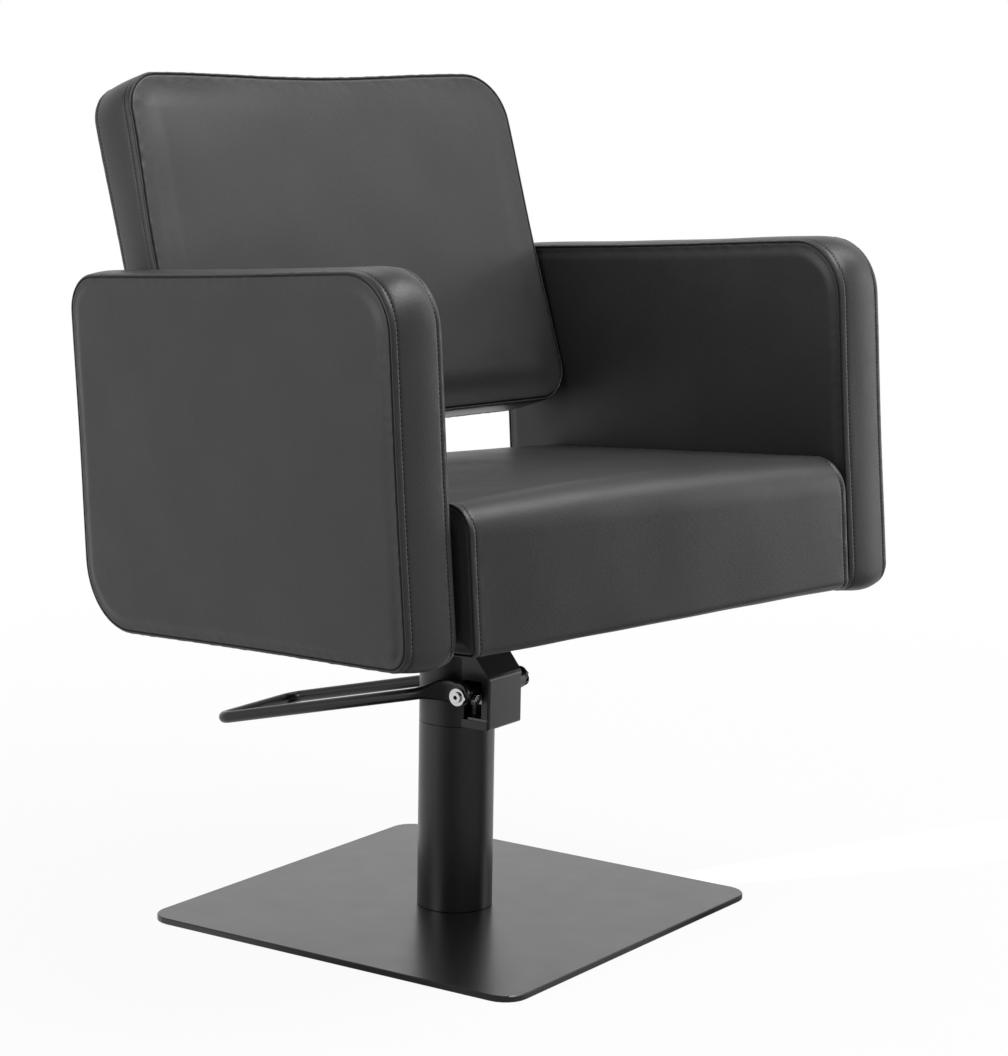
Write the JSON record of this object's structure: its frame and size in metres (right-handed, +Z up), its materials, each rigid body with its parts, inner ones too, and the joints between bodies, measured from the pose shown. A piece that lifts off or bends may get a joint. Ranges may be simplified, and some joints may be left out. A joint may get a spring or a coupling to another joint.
{
  "type": "hydraulic styling chair",
  "caption": "Boxed armchair for hairdressing, upholstered in black leatherette, on a foot-pumped column with a square floor plate; it lifts, turns and has a U-shaped pedal.",
  "frame": {"origin": "on the floor, on the column's axis, at the middle of the floor plate's underside", "axes": "+Z up along the column; the seat faces -Y and +X is on its right-hand side as seen from the front"},
  "size_m": [0.6684, 0.5853, 0.8492],
  "materials": {
    "leatherette": "soft black leatherette with a fine grain and a low sheen",
    "powder_black": "satin black powder coat",
    "bar_black": "semi-gloss black paint",
    "chrome": "bright chrome plate",
    "steel": "machined steel",
    "bronze": "sintered bronze",
    "plywood": "raw plywood"
  },
  "bodies": {
    "base": {"base_plate": "powder_black", "foot_screw_1": "steel", "foot_screw_2": "steel", "foot_screw_3": "steel", "foot_screw_4": "steel", "pump_foot": "steel", "column_tube": "powder_black", "pump_sleeve": "powder_black", "inner_cylinder": "steel", "gland_cap": "powder_black", "guide_bush": "bronze", "pump_block": "steel", "lever_ear_left": "steel", "lever_ear_right": "steel", "shaft_bush_left": "bronze", "shaft_bush_right": "bronze", "lever_cover": "powder_black", "plunger_spring": "steel"},
    "pedal": {"pedal_bar": "bar_black", "lever_shaft": "steel", "spacer_tube_left": "bar_black", "spacer_tube_right": "bar_black", "rocker": "steel", "shaft_washer_left": "chrome", "shaft_washer_right": "chrome", "shaft_screw_left": "chrome", "shaft_screw_right": "chrome", "clamp_screw": "chrome"},
    "plunger": {"plunger": "steel"},
    "piston": {"ram_piston": "steel"},
    "seat": {"ram_rod": "steel", "flange_bolt_1": "steel", "flange_bolt_2": "steel", "flange_bolt_3": "steel", "flange_bolt_4": "steel", "seat_bracket": "powder_black", "board_bolt_1": "steel", "board_bolt_2": "steel", "board_bolt_3": "steel", "board_bolt_4": "steel", "seat_board": "plywood", "seat_rail_left": "plywood", "seat_rail_right": "plywood", "seat_cushion": "leatherette", "arm_cushion_left": "leatherette", "arm_cushion_right": "leatherette", "backrest_cushion": "leatherette", "arm_stud_left_front": "steel", "arm_stud_left_rear": "steel", "arm_stud_right_front": "steel", "arm_stud_right_rear": "steel", "back_stud_left_lower": "steel", "back_stud_left_upper": "steel", "back_stud_right_lower": "steel", "back_stud_right_upper": "steel"}
  },
  "joints": [
    {"name": "lift", "type": "slide", "parent": "base", "child": "piston", "axis": [0, 0, 1], "range_m": [0, 0.15]},
    {"name": "swivel", "type": "hinge", "parent": "piston", "child": "seat", "pos_m": [0, 0, 0.2], "axis": [0, 0, 1], "continuous": true},
    {"name": "pedal_press", "type": "hinge", "parent": "base", "child": "pedal", "pos_m": [0.00777, -0.0372, 0.24], "axis": [-0.9789, -0.2045, 0], "range_deg": [0, 20], "stiffness_Nm_per_rad": 8, "springref_deg": -20.05},
    {"name": "plunger_stroke", "type": "slide", "parent": "base", "child": "plunger", "axis": [0, 0, -1], "range_m": [0, 0.0046], "deforming": ["plunger_spring"]}
  ],
  "couplings": [
    {"joint": "plunger_stroke", "follows": "pedal_press", "m_per_rad": 0.0125}
  ]
}
